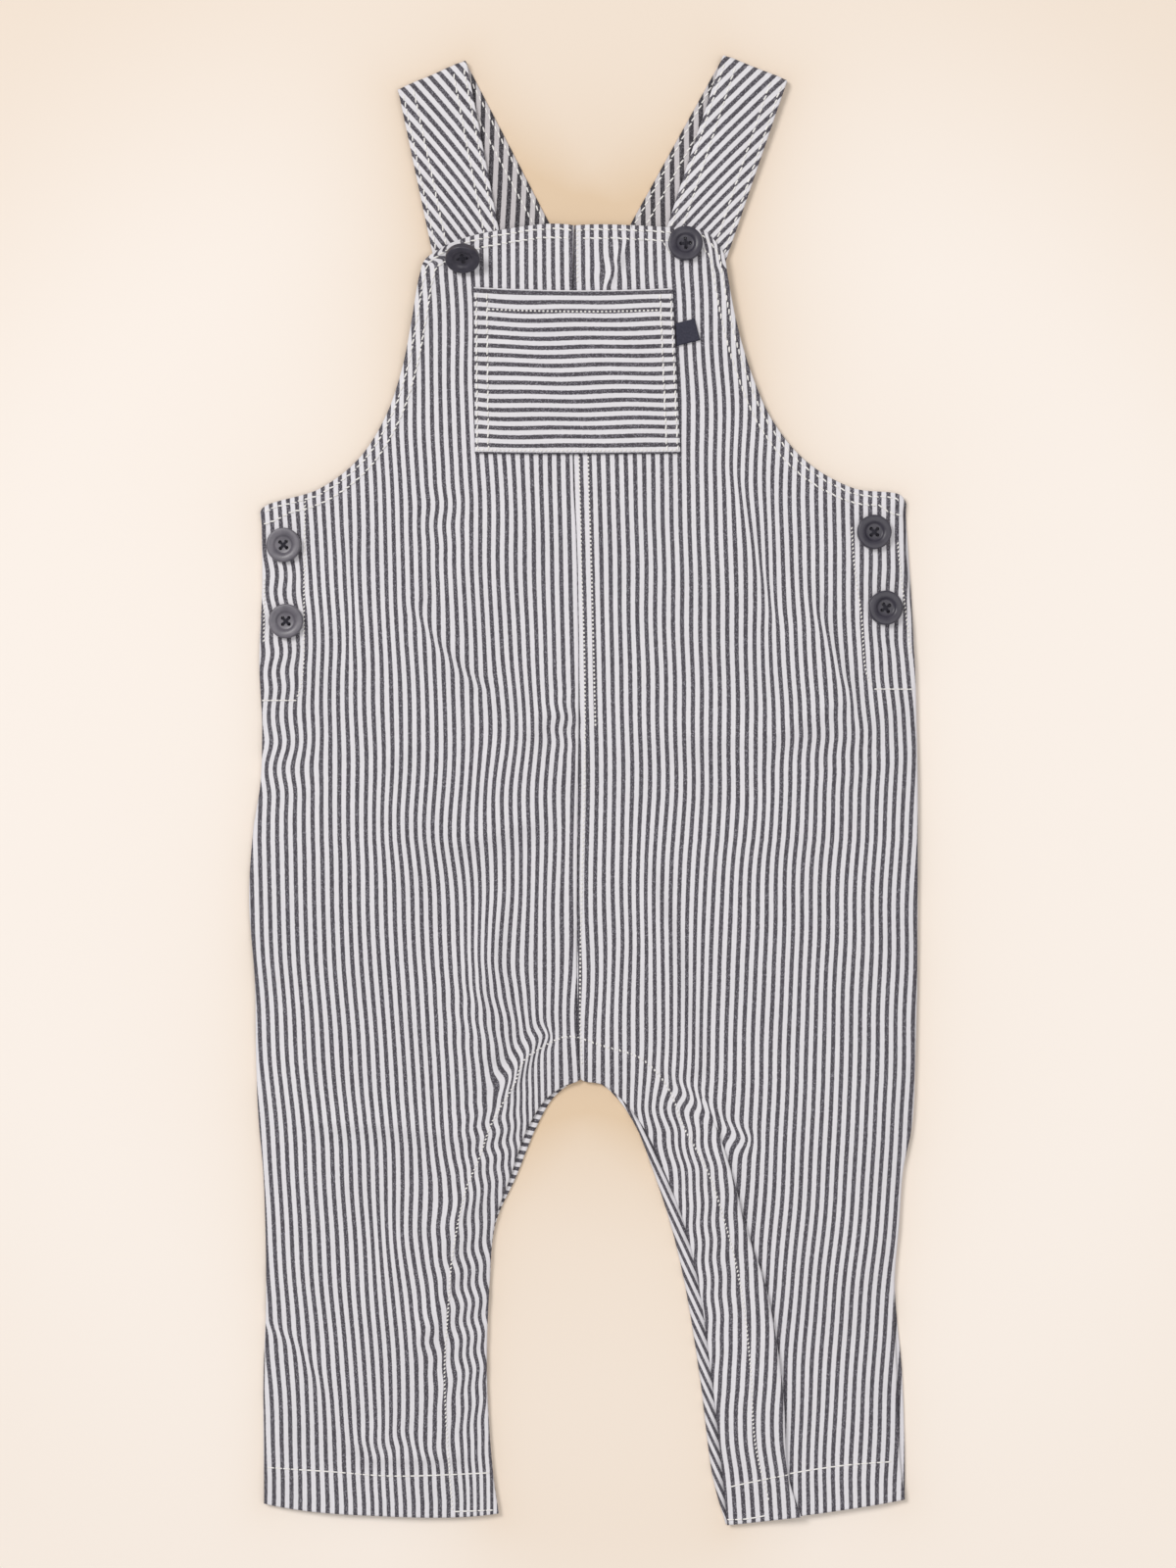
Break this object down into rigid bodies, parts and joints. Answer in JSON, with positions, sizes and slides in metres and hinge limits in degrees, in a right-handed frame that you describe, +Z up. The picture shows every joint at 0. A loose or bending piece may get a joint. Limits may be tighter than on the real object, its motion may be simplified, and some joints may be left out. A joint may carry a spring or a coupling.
{
  "type": "baby dungarees",
  "caption": "Striped cotton baby dungarees laid flat, front up, with a chest pocket, folded shoulder straps and button fastenings at bib and sides.",
  "frame": {"origin": "on the floor under the middle of the garment as it lies flat", "axes": "+X to the right as seen from above with the straps at the top, +Y from the hems towards the straps, +Z up out of the floor"},
  "size_m": [0.2726, 0.5992, 0.0158],
  "materials": {
    "striped_cotton": "matt woven stripe, off-white and navy",
    "topstitch_thread": "twisted off-white sewing thread",
    "woven_tag": "matt dense navy ribbon, bare",
    "navy_button": "satin navy resin"
  },
  "bodies": {
    "root": {"front_left": "striped_cotton", "front_right": "striped_cotton", "back_left": "striped_cotton", "back_right": "striped_cotton", "strap_left": "striped_cotton", "strap_right": "striped_cotton", "chest_pocket": "striped_cotton", "side_tag": "woven_tag", "button_strap_left": "navy_button", "button_strap_right": "navy_button", "button_side_left_upper": "navy_button", "button_side_left_lower": "navy_button", "button_side_right_upper": "navy_button", "button_side_right_lower": "navy_button"}
  },
  "joints": []
}
